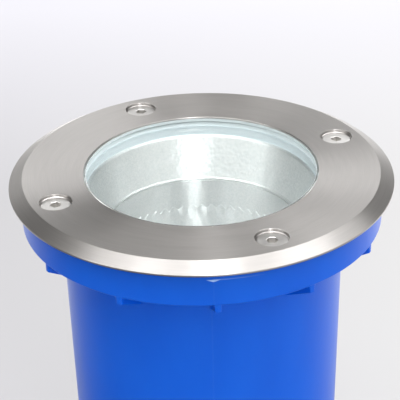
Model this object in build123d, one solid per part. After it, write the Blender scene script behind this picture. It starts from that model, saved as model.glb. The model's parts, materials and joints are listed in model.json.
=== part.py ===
from build123d import *
import os
from math import asin, cos, radians, sin, tan

# In ground well light. Millimetres, +Z up, origin at the centre of the sleeve's base.
# Angles run anticlockwise from +X, seen from above; the front is at -90 degrees.

# ---------------------------------------------------------------- driving dimensions

# Blue sleeve: a drafted pot with a stepped-out collar and gussets.
sleeve_neck_gap = 2.3  # between the pot and the housing's neck
sleeve_draft = 1.0  # degrees
sleeve_wall = 2.6
sleeve_floor = 3.0
collar_flange_gap = 1.4  # between the collar and the housing's flange
collar_height = 15.0
collar_wall = 2.4
shelf_thickness = 2.4
rim_break = 0.5
collar_edge = 0.7
gusset_edge = 0.35
gusset_count = 12
gusset_angle = -86.0
gusset_thickness = 2.4
gusset_drop = 3.0  # how far the outer end hangs below the collar
gusset_slope = 30.0  # degrees
gusset_inset = 0.15
drain_radius = 14.0

# Conduit sockets, pressed into holes low in the pot's wall.
conduit_radius = 10.15
conduit_wall = 2.6
conduit_depth = 16.0
conduit_stand_out = 16.6  # how far a socket's mouth stands out from the pot's top
conduit_height = 30.0
conduit_pass_radius = 8.5
conduit_tail = 3.0  # how far a socket reaches inside the pot
conduit_collar_radius = 15.5
conduit_collar_thickness = 2.5

# Stainless cover ring.
bezel_overhang = 4.7  # beyond the sleeve's collar
bezel_opening_radius = 48.8
bezel_chamfer_width = 5.7
bezel_chamfer_height = 3.3
bezel_land = 0.8
bezel_pad_height = 1.9
bezel_pad_inset = 1.8  # outside the gasket
bezel_pad_margin = 0.3  # inside the flange's edge
opening_break = 0.3

# Cover screws, M6 countersunk with a hexagon socket, sunk in counterbores.
screw_count = 4
screw_angle = 24.3
screw_head_radius = 6.1
screw_head_edge = 0.5
screw_shank_radius = 3.0
screw_length = 11.6
screw_socket_flats = 4.0
screw_socket_depth = 2.4
counterbore_radius = 6.7
counterbore_depth = 1.2
screw_hole_clearance = 0.4
head_clearance = 0.1
insert_radius = 4.5
insert_inner_wall = 2.85  # metal between the gasket and an insert
insert_outer_wall = 2.65  # metal between an insert and the flange's edge
insert_length = 7.8
thread_clearance = 0.06

# Stepped glass and its channel gasket.
glass_opening_gap = 0.4
glass_step_width = 6.6
glass_thickness = 9.0
glass_plateau_height = 4.4
glass_recess = 0.4
glass_edge = 0.5
gasket_side = 2.0
gasket_hold = 4.3  # how far it reaches over and under the glass's foot
gasket_under = 1.4
gasket_bezel_gap = 0.1
gasket_glass_gap = 0.1
gasket_groove_gap = 0.3

# Housing.
flange_thickness = 8.6
flange_seal_thickness = 3.0
flange_seal_inset = 0.6  # outside the pot
flange_seal_margin = 0.5
housing_wall = 3.5
housing_reflector_gap = 1.8
housing_depth = 184.0  # flange top to the outside of the floor
housing_room = 50.0  # under the housing, down to the sleeve's base
housing_floor = 5.0
neck_wall = 3.0  # beyond the housing's outside
neck_height = 8.0
neck_taper = 3.0
housing_bottom_chamfer = 3.0

# Spacer ring over the reflector's rim.
spacer_gasket_gap = 0.5
spacer_wall = 1.9
spacer_glass_gap = 0.3
throat_gap = 0.3

# Reflector: upper cone, lower faceted bowl.
sheet = 0.8
rim_width = 2.6
rim_below_glass = 4.6
lip_step = 0.8
cone_taper = 4.9
cone_height = 19.5
bead_radius = 0.9
joint_flange_width = 4.3
bowl_mouth_step = 0.5
bowl_hole_radius = 13.0
bowl_depth = 78.5
facet_count = 60
tier_count = 8
tier_ledge = 0.25
rivet_count = 4
rivet_inset = 1.7
rivet_radius = 0.8
rivet_head_radius = 1.45
rivet_head_height = 0.6

# Lamp, a tubular two-pin type.
lamp_tube_radius = 9.5
lamp_tube_wall = 1.0
lamp_tube_length = 75.0
lamp_base_radius = 11.5
lamp_base_height = 16.0
lamp_socket_depth = 4.0
lamp_pin_radius = 1.15
lamp_pin_length = 10.0
lamp_pin_spacing = 12.0
lamp_seat_gap = 0.2
arc_centre_height = 56.0  # above the lamp's seat
arc_body_radius = 3.4
arc_body_length = 12.0
arc_leg_radius = 1.0
arc_leg_length = 13.0
frame_wire_radius = 0.5
frame_wire_offset = 6.5
frame_bend_radius = 2.0
part_gap = 0.05

# Lampholder and what carries it.
holder_length = 34.0
holder_width = 24.0
holder_height = 24.0
holder_corner = 3.0
contact_radius = 2.0
contact_length = 11.5
contact_clearance = 0.1
plate_length = 56.0
plate_width = 22.0
plate_thickness = 1.5
plate_corner = 2.5
lead_slot_length = 17.0
lead_slot_width = 5.0
pillar_height = 28.0
pillar_flats = 7.0
pillar_offset = 23.0
pillar_stud_radius = 2.0
pillar_stud_length = 4.0
small_screw_radius = 1.5
small_screw_length = 7.0
small_head_radius = 2.8
small_head_height = 2.0
small_slot_width = 0.8
small_slot_depth = 1.0
holder_screw_offset = 12.5

# Terminal block, leads and earth.
block_length = 30.0
block_width = 18.0
block_height = 16.0
block_corner = 1.5
terminal_count = 3
terminal_pitch = 9.0
terminal_row_offset = 5.5
terminal_screw_radius = 1.9
terminal_screw_length = 6.0
terminal_well_radius = 2.2
terminal_well_depth = 5.0
terminal_entry_radius = 1.7
terminal_entry_depth = 5.0
terminal_entry_height = 6.0
fixing_head_depth = 9.0
fixing_grip = 4.0
lead_radius = 1.2
lead_bend_radius = 3.6
lead_side_reach = 6.5
lead_drop = 7.0
lead_end_gap = 0.1
earth_x = 29.0
earth_y = 22.0
earth_boss_radius = 5.0
earth_boss_height = 6.0
earth_washer_radius = 4.2
earth_washer_thickness = 1.0
earth_screw_radius = 2.0
earth_screw_length = 8.0
earth_head_radius = 3.6
earth_head_height = 2.4

# Cable gland and blanking plug, both for the same size of entry.
entry_offset = 26.0
entry_radius = 10.1
entry_thread_radius = 10.0
entry_washer_radius = 13.0
entry_washer_thickness = 1.5
gland_flats = 24.0
gland_hex_height = 6.0
gland_spigot_above = 7.5
gland_barrel_radius = 9.0
gland_barrel_length = 10.0
gland_bore = 6.6
gland_cap_height = 16.0
gland_cap_mouth = 6.2
gland_cap_wall = 2.4
gland_cap_start = 1.0
seal_head_radius = 8.6
seal_head_height = 3.0
seal_length = 12.0
cable_radius = 4.5
locknut_height = 5.0
locknut_flats = 24.0
plug_head_height = 5.0
plug_length = 9.0

# ---------------------------------------------------------------- radii that follow

# From the opening in the cover ring outwards: glass, gasket, screws, flange, collar, ring.
glass_plateau_radius = bezel_opening_radius - glass_opening_gap
glass_radius = glass_plateau_radius + glass_step_width
gasket_radius = glass_radius + gasket_side
gasket_lip_radius = glass_radius - gasket_hold
bezel_pad_inner = gasket_radius + bezel_pad_inset
screw_circle_radius = gasket_radius + insert_inner_wall + insert_radius
flange_radius = screw_circle_radius + insert_radius + insert_outer_wall
bezel_pad_outer = flange_radius - bezel_pad_margin
collar_radius = flange_radius + collar_flange_gap + collar_wall
bezel_radius = collar_radius + bezel_overhang

# From the gasket's lip inwards: spacer, reflector; then outwards again: housing, pot, seal.
spacer_outer = gasket_lip_radius - spacer_gasket_gap
spacer_inner = spacer_outer - spacer_wall
rim_inner = spacer_outer - rim_width
lip_radius = rim_inner - lip_step
cone_foot_radius = lip_radius - cone_taper
joint_flange_radius = cone_foot_radius + joint_flange_width
bowl_mouth_radius = cone_foot_radius - bowl_mouth_step
rivet_circle = joint_flange_radius - rivet_inset
housing_bore = joint_flange_radius + housing_reflector_gap
housing_radius = housing_bore + housing_wall
neck_radius = housing_radius + neck_wall
sleeve_radius = neck_radius + sleeve_neck_gap + sleeve_wall
flange_seal_inner = sleeve_radius + flange_seal_inset
conduit_reach = sleeve_radius + conduit_stand_out

# ---------------------------------------------------------------- heights that follow

flange_above_collar_foot = shelf_thickness + flange_seal_thickness + flange_thickness
sleeve_height = housing_room + housing_depth + collar_height - flange_above_collar_foot
collar_bottom = sleeve_height - collar_height
shelf_top = collar_bottom + shelf_thickness
flange_bottom = shelf_top + flange_seal_thickness
flange_top = flange_bottom + flange_thickness
bezel_underside = flange_top + bezel_pad_height
bezel_top = bezel_underside + bezel_land + bezel_chamfer_height
glass_top = bezel_top - glass_recess
glass_bottom = glass_top - glass_thickness
gasket_seat = glass_bottom - gasket_under
rim_top = glass_bottom - rim_below_glass
rim_seat = rim_top - sheet
cone_foot = rim_top - cone_height
throat_radius = spacer_outer + throat_gap
floor_outside = flange_top - housing_depth
floor_inside = floor_outside + housing_floor
plate_bottom = floor_inside + pillar_height
holder_bottom = plate_bottom + plate_thickness
holder_top = holder_bottom + holder_height
lamp_seat = holder_top + lamp_seat_gap
lamp_base_top = lamp_seat + lamp_base_height
lamp_tube_bottom = lamp_base_top - lamp_socket_depth
lamp_tip = lamp_base_top + lamp_tube_length
arc_centre = lamp_seat + arc_centre_height
block_top = floor_inside + block_height
screw_head_top = bezel_top - counterbore_depth
head_cone_height = screw_head_radius - screw_shank_radius
draft_slope = tan(radians(sleeve_draft))
bowl_long_axis = bowl_depth / (1 - (bowl_hole_radius / bowl_mouth_radius) ** 2) ** 0.5


# ---------------------------------------------------------------- shared shapes


def rod(radius, bottom, top, x=0.0, y=0.0):
    """Upright cylinder between two heights."""
    return Pos(x, y, (bottom + top) / 2) * Cylinder(radius, top - bottom)


def ring(outer, inner, bottom, top, x=0.0, y=0.0):
    """Upright tube between two heights."""
    return rod(outer, bottom, top, x, y) - rod(inner, bottom, top, x, y)


def turned(*points):
    """Solid turned about the Z axis from an outline of (radius, height) points."""
    outline = Polyline(*[(radius, 0, height) for radius, height in points], close=True)
    return revolve(make_face(outline), Axis.Z)


def hexagon(flats, bottom, top, x=0.0, y=0.0):
    """Upright hexagonal prism, sized across its flats."""
    profile = Pos(x, y, bottom) * RegularPolygon(flats / 2, 6, major_radius=False)
    return extrude(profile, top - bottom, dir=(0, 0, 1))


def block(length, width, bottom, top, corner, x=0.0, y=0.0):
    """Upright block with rounded corners."""
    profile = Pos(x, y, bottom) * RectangleRounded(length, width, corner)
    return extrude(profile, top - bottom, dir=(0, 0, 1))


def around(count, start, radius):
    """Places on a circle, as (x, y, angle)."""
    places = []
    for index in range(count):
        angle = start + index * 360 / count
        x = radius * cos(radians(angle))
        y = radius * sin(radians(angle))
        places.append((x, y, angle))
    return places


def group(solids):
    """Separate solids kept together under one name."""
    return Compound(children=[solid for shape in solids for solid in shape.solids()])


def pan_screw(radius, length, head_radius, head_height, seat, x, y, up=1):
    """Slotted screw whose head lies on the seat, head above it where up is 1, below it where up is -1."""
    tip = seat - up * length
    crown = seat + up * head_height
    shank = rod(radius, min(seat, tip), max(seat, tip), x, y)
    head = rod(head_radius, min(seat, crown), max(seat, crown), x, y)
    slot_floor = crown - up * small_slot_depth
    slot_middle = (crown + slot_floor) / 2
    slot = Pos(x, y, slot_middle) * Box(3 * head_radius, small_slot_width, small_slot_depth)
    return shank + head - slot


# ---------------------------------------------------------------- sleeve


def sleeve_outside(height):
    """Outside radius of the drafted pot at a height."""
    return sleeve_radius - (collar_bottom - height) * draft_slope


def gusset():
    """One triangular rib under the shelf, from the pot's wall to the collar's face."""
    root = shelf_top - shelf_thickness / 2
    low_outer = collar_bottom - gusset_drop
    inner = sleeve_radius - sleeve_wall / 2
    outer = collar_radius - gusset_inset
    low_inner = low_outer - (outer - inner) * tan(radians(gusset_slope))
    upper = [(inner, 0, root), (outer, 0, root)]
    lower = [(outer, 0, low_outer), (inner, 0, low_inner)]
    profile = Polyline(*upper, *lower, close=True)
    rib = extrude(make_face(profile), gusset_thickness / 2, both=True)
    outer_edges = rib.edges().filter_by(Axis.Z).sort_by(Axis.X)[-2:]
    low_edges = rib.edges().filter_by(Axis.Y).sort_by(Axis.X)[-2:].sort_by(Axis.Z)[:1]
    return fillet(outer_edges + low_edges, gusset_edge)


def conduit_side(side):
    """Turns an upright shape to point out of the pot, on the side given as 1 or -1."""
    return Pos(0, 0, conduit_height) * Rot(0, 90 * side, 0)


def conduit_sockets():
    """Stepped tubes with a collar against the outside of the pot."""
    outside = sleeve_outside(conduit_height)
    tail = outside - sleeve_wall - conduit_tail
    collar_top = outside + conduit_collar_thickness
    tube = rod(conduit_radius + conduit_wall, tail, conduit_reach)
    tube += rod(conduit_collar_radius, outside - conduit_collar_radius / 2, collar_top)
    tube -= rod(conduit_radius, conduit_reach - conduit_depth, conduit_reach)
    tube -= rod(conduit_pass_radius, tail, conduit_reach)
    keep_out = ring(conduit_collar_radius, conduit_radius + conduit_wall, 0, collar_top)
    pot_top = (sleeve_outside(collar_bottom), collar_bottom)
    pot = turned((0, 0), (sleeve_outside(0), 0), pot_top, (0, collar_bottom))
    sockets = []
    for side in (1, -1):
        sockets.append(conduit_side(side) * tube - (pot & (conduit_side(side) * keep_out)))
    return group(sockets)


def install_sleeve():
    base_radius = sleeve_outside(0)
    pot_top = collar_bottom + shelf_thickness / 2
    collar_inner = collar_radius - collar_wall
    body = turned(
        (0, 0),
        (base_radius, 0),
        (sleeve_outside(collar_bottom), collar_bottom),
        (collar_radius - collar_edge, collar_bottom),
        (collar_radius, collar_bottom + collar_edge),
        (collar_radius, sleeve_height - rim_break),
        (collar_radius - rim_break, sleeve_height),
        (collar_inner, sleeve_height),
        (collar_inner, shelf_top),
        (0, shelf_top),
    )
    hollow = turned(
        (0, sleeve_floor),
        (sleeve_outside(sleeve_floor) - sleeve_wall, sleeve_floor),
        (sleeve_outside(pot_top) - sleeve_wall, shelf_top),
        (0, shelf_top),
    )
    for _, _, angle in around(gusset_count, gusset_angle, 0):
        body += Rot(0, 0, angle) * gusset()
    body -= hollow
    for side in (1, -1):
        body -= conduit_side(side) * rod(conduit_radius + conduit_wall, 0, collar_radius)
    return body - rod(drain_radius, 0, sleeve_floor)


# ---------------------------------------------------------------- cover


def head_profile(clearance):
    """Countersunk head, grown by a clearance for the seat that takes it."""
    shank = screw_shank_radius + clearance
    head = screw_head_radius + clearance
    edge_low = screw_head_top - screw_head_edge
    cone_low = edge_low - head_cone_height
    return shank, head, edge_low, cone_low


def bezel():
    chamfer_radius = bezel_radius - bezel_chamfer_width
    plate = turned(
        (bezel_opening_radius, bezel_underside),
        (bezel_pad_inner, bezel_underside),
        (bezel_pad_inner, flange_top),
        (bezel_pad_outer, flange_top),
        (bezel_pad_outer, bezel_underside),
        (bezel_radius, bezel_underside),
        (bezel_radius, bezel_underside + bezel_land),
        (chamfer_radius, bezel_top),
        (bezel_opening_radius + opening_break, bezel_top),
        (bezel_opening_radius, bezel_top - opening_break),
    )
    shank, head, edge_low, cone_low = head_profile(head_clearance)
    hole = turned(
        (0, flange_top),
        (screw_shank_radius + screw_hole_clearance, flange_top),
        (screw_shank_radius + screw_hole_clearance, cone_low + screw_hole_clearance),
        (shank + head_cone_height, edge_low),
        (counterbore_radius, edge_low),
        (counterbore_radius, bezel_top),
        (0, bezel_top),
    )
    for x, y, _ in around(screw_count, screw_angle, screw_circle_radius):
        plate -= Pos(x, y, 0) * hole
    return plate


def bezel_screws():
    shank, head, edge_low, cone_low = head_profile(0)
    tip = screw_head_top - screw_length
    screw = turned(
        (0, tip),
        (shank, tip),
        (shank, cone_low),
        (head, edge_low),
        (head, screw_head_top),
        (0, screw_head_top),
    )
    screw -= hexagon(screw_socket_flats, screw_head_top - screw_socket_depth, screw_head_top)
    places = around(screw_count, screw_angle, screw_circle_radius)
    return group([Pos(x, y, 0) * Rot(0, 0, angle) * screw for x, y, angle in places])


def thread_inserts():
    bore = screw_shank_radius + thread_clearance
    places = around(screw_count, screw_angle, screw_circle_radius)
    low = flange_top - insert_length
    return group([ring(insert_radius, bore, low, flange_top, x, y) for x, y, _ in places])


def lens_glass():
    step = glass_top - glass_plateau_height
    return turned(
        (0, glass_bottom),
        (glass_radius - glass_edge, glass_bottom),
        (glass_radius, glass_bottom + glass_edge),
        (glass_radius, step - glass_edge),
        (glass_radius - glass_edge, step),
        (glass_plateau_radius, step),
        (glass_plateau_radius, glass_top - glass_edge),
        (glass_plateau_radius - glass_edge, glass_top),
        (0, glass_top),
    )


def lens_gasket():
    top = bezel_underside - gasket_bezel_gap
    step = glass_top - glass_plateau_height + gasket_glass_gap
    inner = glass_radius + gasket_glass_gap
    return turned(
        (gasket_lip_radius, gasket_seat),
        (gasket_radius, gasket_seat),
        (gasket_radius, top),
        (gasket_lip_radius, top),
        (gasket_lip_radius, step),
        (inner, step),
        (inner, glass_bottom),
        (gasket_lip_radius, glass_bottom),
    )


# ---------------------------------------------------------------- housing


def entry_places():
    """Centres of the two cable entries: gland first, plug second."""
    return [(0, entry_offset), (0, -entry_offset)]


def lamp_housing():
    neck_bottom = flange_bottom - neck_height
    can = turned(
        (0, floor_outside),
        (housing_radius - housing_bottom_chamfer, floor_outside),
        (housing_radius, floor_outside + housing_bottom_chamfer),
        (housing_radius, neck_bottom - neck_taper),
        (neck_radius, neck_bottom),
        (neck_radius, flange_bottom),
        (flange_radius, flange_bottom),
        (flange_radius, flange_top),
        (gasket_radius + gasket_groove_gap, flange_top),
        (gasket_radius + gasket_groove_gap, gasket_seat),
        (throat_radius, gasket_seat),
        (throat_radius, rim_seat),
        (housing_bore, rim_seat),
        (housing_bore, floor_inside),
        (0, floor_inside),
    )
    for x, y, _ in around(screw_count, screw_angle, screw_circle_radius):
        can -= rod(insert_radius, flange_top - insert_length, flange_top, x, y)
    for x, y in entry_places():
        can -= rod(entry_radius, floor_outside, floor_inside, x, y)
    stud_hole = pillar_stud_radius + part_gap
    for side in (1, -1):
        can -= rod(stud_hole, floor_inside - pillar_stud_length, floor_inside, side * pillar_offset)
    earth_seat = floor_inside + earth_boss_height
    can += rod(earth_boss_radius, floor_inside - housing_floor / 2, earth_seat, earth_x, earth_y)
    earth_tip = earth_seat + earth_washer_thickness - earth_screw_length
    can -= rod(earth_screw_radius, earth_tip, earth_seat, earth_x, earth_y)
    return can - rod(small_screw_radius, floor_inside - fixing_grip, floor_inside)


def flange_seal():
    return ring(flange_radius - flange_seal_margin, flange_seal_inner, shelf_top, flange_bottom)


# ---------------------------------------------------------------- reflector


def reflector_spacer():
    return ring(spacer_outer, spacer_inner, rim_top, glass_bottom - spacer_glass_gap)


def rivet_places():
    return around(rivet_count, screw_angle, rivet_circle)


def reflector_cone():
    shell = turned(
        (spacer_outer, rim_seat),
        (spacer_outer, rim_top),
        (rim_inner, rim_top),
        (lip_radius, rim_top - sheet),
        (cone_foot_radius, cone_foot + sheet),
        (cone_foot_radius, cone_foot),
        (joint_flange_radius, cone_foot),
        (joint_flange_radius, cone_foot + sheet),
        (cone_foot_radius + sheet, cone_foot + sheet),
        (rim_inner, rim_seat),
    )
    bead = Pos(0, 0, cone_foot + bead_radius) * Torus(cone_foot_radius + sheet / 4, bead_radius)
    shell += bead
    for x, y, _ in rivet_places():
        shell -= rod(rivet_radius, cone_foot, cone_foot + sheet, x, y)
    return shell


def bowl_radius(depth):
    """Inner radius of the bowl at a depth under its mouth: an ellipse."""
    return bowl_mouth_radius * (1 - (depth / bowl_long_axis) ** 2) ** 0.5


def tier_depths():
    """Depths of the tier edges, evenly spaced in angle along the ellipse."""
    last = asin(bowl_depth / bowl_long_axis)
    return [bowl_long_axis * sin(last * index / tier_count) for index in range(tier_count + 1)]


def facet_tier(index):
    """Space inside one tier: a ring of flat facets, turned half a facet from the tier above."""
    depths = tier_depths()
    turn = Rot(0, 0, 180 / facet_count * (index % 2))
    upper = Pos(0, 0, cone_foot - depths[index]) * turn
    lower = Pos(0, 0, cone_foot - depths[index + 1]) * turn
    wide = upper * RegularPolygon(bowl_radius(depths[index]), facet_count)
    narrow = lower * RegularPolygon(bowl_radius(depths[index + 1]) + tier_ledge, facet_count)
    return loft([narrow, wide], ruled=True)


def reflector_bowl():
    depths = tier_depths()
    skin = sheet + tier_ledge
    outer = [(bowl_radius(depth) + skin, cone_foot - depth) for depth in depths]
    outline = [(0, cone_foot - bowl_depth - sheet)]
    outline.append((bowl_radius(bowl_depth) + skin, cone_foot - bowl_depth - sheet))
    outline += outer[:0:-1]
    outline.append((bowl_mouth_radius + skin, cone_foot - sheet))
    outline.append((joint_flange_radius, cone_foot - sheet))
    outline.append((joint_flange_radius, cone_foot))
    outline.append((0, cone_foot))
    bowl = turned(*outline)
    for index in range(tier_count):
        bowl -= facet_tier(index)
    bowl -= rod(bowl_radius(bowl_depth), cone_foot - bowl_depth - sheet, cone_foot - bowl_depth)
    for x, y, _ in rivet_places():
        bowl -= rod(rivet_radius, cone_foot - sheet, cone_foot, x, y)
    return bowl


def reflector_rivets():
    low = cone_foot - sheet
    high = cone_foot + sheet
    rivets = []
    for x, y, _ in rivet_places():
        rivet = rod(rivet_radius, low, high, x, y)
        rivet += rod(rivet_head_radius, high, high + rivet_head_height, x, y)
        rivet += rod(rivet_head_radius, low - rivet_head_height, low, x, y)
        rivets.append(rivet)
    return group(rivets)


# ---------------------------------------------------------------- lamp


def pin_places():
    return [lamp_pin_spacing / 2, -lamp_pin_spacing / 2]


def lamp_tube_outside(grown=0.0):
    """Round-ended tube, as a solid."""
    radius = lamp_tube_radius - grown
    top = lamp_tip - grown
    body = rod(radius, lamp_tube_bottom + grown, top - radius)
    return body + Pos(0, 0, top - radius) * Sphere(radius)


def lamp_glass():
    return lamp_tube_outside() - lamp_tube_outside(lamp_tube_wall)


def lamp_base():
    base = rod(lamp_base_radius, lamp_seat, lamp_base_top)
    base -= rod(lamp_tube_radius + part_gap, lamp_tube_bottom, lamp_base_top)
    for x in pin_places():
        base -= rod(lamp_pin_radius, lamp_seat, lamp_seat + lamp_pin_length / 2, x)
    return base


def lamp_pins():
    pins = []
    for x in pin_places():
        pins.append(rod(lamp_pin_radius, lamp_seat - lamp_pin_length, lamp_seat + lamp_pin_length / 2, x))
    return group(pins)


def lamp_arc_tube():
    half = arc_body_length / 2
    end = half + arc_leg_length
    return turned(
        (0, arc_centre - end),
        (arc_leg_radius, arc_centre - end),
        (arc_leg_radius, arc_centre - half),
        (arc_body_radius, arc_centre - half + arc_leg_radius),
        (arc_body_radius, arc_centre + half - arc_leg_radius),
        (arc_leg_radius, arc_centre + half),
        (arc_leg_radius, arc_centre + end),
        (0, arc_centre + end),
    )


def bent_wire(radius, bend, *points):
    """Round wire along straight runs joined by tangent arcs."""
    path = FilletPolyline(*points, radius=bend)
    section = Plane(origin=path @ 0, z_dir=path % 0) * Circle(radius)
    return sweep(section, path=path)


def lamp_frame():
    """Short wire to the lower leg and long wire past the arc tube to the upper leg."""
    foot = lamp_tube_bottom + lamp_tube_wall
    leg_end = arc_body_length / 2 + arc_leg_length
    low_end = arc_centre - leg_end
    high_end = arc_centre + leg_end + frame_wire_radius
    short = rod(frame_wire_radius, foot, low_end)
    long = bent_wire(
        frame_wire_radius,
        frame_bend_radius,
        (frame_wire_offset, 0, foot),
        (frame_wire_offset, 0, high_end),
        (-arc_leg_radius, 0, high_end),
    )
    return group([short, long])


# ---------------------------------------------------------------- lampholder


def lampholder():
    holder = block(holder_length, holder_width, holder_bottom, holder_top, holder_corner)
    for x in pin_places():
        holder -= rod(contact_radius, holder_top - contact_length, holder_top, x)
        holder -= rod(lead_radius + part_gap, holder_bottom, holder_top - contact_length, x)
    for side in (1, -1):
        top = holder_bottom - plate_thickness + small_screw_length
        holder -= rod(small_screw_radius, holder_bottom, top, side * holder_screw_offset)
    return holder


def holder_contacts():
    bore = lamp_pin_radius + contact_clearance
    low = holder_top - contact_length
    return group([ring(contact_radius, bore, low, holder_top, x) for x in pin_places()])


def holder_plate():
    plate = block(plate_length, plate_width, plate_bottom, holder_bottom, plate_corner)
    slot_corner = lead_slot_width / 2 - part_gap
    plate -= block(lead_slot_length, lead_slot_width, plate_bottom, holder_bottom, slot_corner)
    for side in (1, -1):
        plate -= rod(small_screw_radius, plate_bottom, holder_bottom, side * holder_screw_offset)
        plate -= rod(small_screw_radius, plate_bottom, holder_bottom, side * pillar_offset)
    return plate


def small_screw(seat, x, up):
    """Short screw of the lampholder's plate."""
    head = (small_head_radius, small_head_height)
    return pan_screw(small_screw_radius, small_screw_length, *head, seat, x, 0, up)


def holder_screws():
    return group([small_screw(plate_bottom, side * holder_screw_offset, -1) for side in (1, -1)])


def holder_pillars():
    pillars = []
    for side in (1, -1):
        x = side * pillar_offset
        pillar = hexagon(pillar_flats, floor_inside, plate_bottom, x)
        pillar += rod(pillar_stud_radius, floor_inside - pillar_stud_length, floor_inside, x)
        depth = small_screw_length - plate_thickness
        pillars.append(pillar - rod(small_screw_radius, plate_bottom - depth, plate_bottom, x))
    return group(pillars)


def pillar_screws():
    return group([small_screw(holder_bottom, side * pillar_offset, 1) for side in (1, -1)])


# ---------------------------------------------------------------- terminals and earth


def terminal_xs():
    half = (terminal_count - 1) / 2
    return [(index - half) * terminal_pitch for index in range(terminal_count)]


def terminal_block():
    body = block(block_length, block_width, floor_inside, block_top, block_corner)
    entry_height = floor_inside + terminal_entry_height
    for x in terminal_xs():
        for side in (1, -1):
            y = side * terminal_row_offset
            body -= rod(terminal_well_radius, block_top - terminal_well_depth, block_top, x, y)
            body -= rod(terminal_screw_radius, block_top - terminal_screw_length, block_top, x, y)
            mouth = side * (block_width / 2 - terminal_entry_depth / 2)
            hole = Rot(90, 0, 0) * Cylinder(terminal_entry_radius, terminal_entry_depth)
            body -= Pos(x, mouth, entry_height) * hole
    body -= rod(small_screw_radius, floor_inside, block_top)
    return body - rod(small_head_radius, floor_inside + fixing_head_depth, block_top)


def terminal_screws():
    screws = []
    bottom = block_top - terminal_screw_length
    top = bottom + terminal_well_depth
    for x in terminal_xs():
        for side in (1, -1):
            y = side * terminal_row_offset
            screw = rod(terminal_screw_radius, bottom, top, x, y)
            slot = Pos(x, y, top) * Box(3 * terminal_screw_radius, small_slot_width, 2 * small_slot_depth)
            screws.append(screw - slot)
    return group(screws)


def terminal_fixing():
    seat = floor_inside + fixing_head_depth
    length = fixing_head_depth + fixing_grip
    return pan_screw(small_screw_radius, length, small_head_radius - part_gap, small_head_height, seat, 0, 0)


def lamp_leads():
    """From each lampholder contact, down beside the block and into its outer terminals."""
    start = holder_top - contact_length
    turn = plate_bottom - lead_drop
    side = block_width / 2 + lead_side_reach
    low = floor_inside + terminal_entry_height
    end = block_width / 2 - terminal_entry_depth + lead_end_gap
    leads = []
    for x, block_x in zip(pin_places(), (terminal_xs()[-1], terminal_xs()[0])):
        leads.append(
            bent_wire(
                lead_radius,
                lead_bend_radius,
                (x, 0, start),
                (x, 0, turn),
                (block_x, -side, turn),
                (block_x, -side, low),
                (block_x, -end, low),
            )
        )
    return group(leads)


def earth_washer():
    seat = floor_inside + earth_boss_height
    top = seat + earth_washer_thickness
    return ring(earth_washer_radius, earth_screw_radius, seat, top, earth_x, earth_y)


def earth_screw():
    seat = floor_inside + earth_boss_height + earth_washer_thickness
    return pan_screw(
        earth_screw_radius, earth_screw_length, earth_head_radius, earth_head_height, seat, earth_x, earth_y
    )


# ---------------------------------------------------------------- cable entries


def entry_washer(place):
    x, y = place
    low = floor_outside - entry_washer_thickness
    return ring(entry_washer_radius, entry_thread_radius, low, floor_outside, x, y)


def gland_washer():
    return entry_washer(entry_places()[0])


def plug_seal():
    return entry_washer(entry_places()[1])


def gland_body():
    x, y = entry_places()[0]
    hex_top = floor_outside - entry_washer_thickness
    hex_low = hex_top - gland_hex_height
    body = hexagon(gland_flats, hex_low, hex_top, x, y)
    body += rod(entry_thread_radius, hex_top, floor_inside + gland_spigot_above, x, y)
    body += rod(gland_barrel_radius, hex_low - gland_barrel_length, hex_low, x, y)
    return body - rod(gland_bore, hex_low - gland_barrel_length, floor_inside + gland_spigot_above, x, y)


def barrel_end():
    return floor_outside - entry_washer_thickness - gland_hex_height - gland_barrel_length


def gland_seal():
    x, y = entry_places()[0]
    end = barrel_end()
    seal = rod(seal_head_radius, end - seal_head_height, end, x, y)
    seal += rod(gland_bore - part_gap, end, end + seal_length - seal_head_height, x, y)
    return seal - rod(cable_radius, end - seal_head_height, end + seal_length, x, y)


def gland_cap():
    x, y = entry_places()[0]
    cavity_low = barrel_end() - seal_head_height
    top = barrel_end() + gland_barrel_length - gland_cap_start
    low = cavity_low - gland_cap_wall
    cap = hexagon(gland_flats, top - gland_cap_height / 2, top, x, y)
    cap += rod(gland_flats / 2, low, top, x, y)
    cap -= rod(gland_barrel_radius, cavity_low, top, x, y)
    return cap - rod(gland_cap_mouth, low, cavity_low, x, y)


def gland_locknut():
    x, y = entry_places()[0]
    top = floor_inside + locknut_height
    return hexagon(locknut_flats, floor_inside, top, x, y) - rod(entry_thread_radius, floor_inside, top, x, y)


def entry_plug():
    x, y = entry_places()[1]
    seat = floor_outside - entry_washer_thickness
    plug = hexagon(gland_flats, seat - plug_head_height, seat, x, y)
    return plug + rod(entry_thread_radius, seat, seat + plug_length, x, y)


# ---------------------------------------------------------------- write every piece

PIECES = [
    install_sleeve,
    conduit_sockets,
    bezel,
    bezel_screws,
    thread_inserts,
    lens_glass,
    lens_gasket,
    lamp_housing,
    flange_seal,
    reflector_spacer,
    reflector_cone,
    reflector_bowl,
    reflector_rivets,
    lamp_glass,
    lamp_base,
    lamp_pins,
    lamp_arc_tube,
    lamp_frame,
    lampholder,
    holder_contacts,
    holder_plate,
    holder_screws,
    holder_pillars,
    pillar_screws,
    terminal_block,
    terminal_screws,
    terminal_fixing,
    lamp_leads,
    earth_screw,
    earth_washer,
    gland_body,
    gland_washer,
    gland_seal,
    gland_cap,
    gland_locknut,
    entry_plug,
    plug_seal,
]

os.makedirs("parts", exist_ok=True)
for piece in PIECES:
    export_step(piece(), os.path.join("parts", piece.__name__ + ".step"))
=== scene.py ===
# %% [markdown]
# # A well light set in the ground
# The object is a round uplight that is sunk into a path. A stainless ring and a stepped glass lie flush
# with the paving, a bright reflector sits under them, and the whole lamp drops into a blue moulded sleeve.
# The engineering model comes in first. It fixes every size and every place, so nothing here is fitted by
# eye: each piece that follows is drawn in the same frame, in metres, with Z up through the lamp's axis.

import json
from math import cos, pi, radians, sin, sqrt, tan

import bmesh
import bpy
from mathutils import Matrix, Vector, noise


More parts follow.
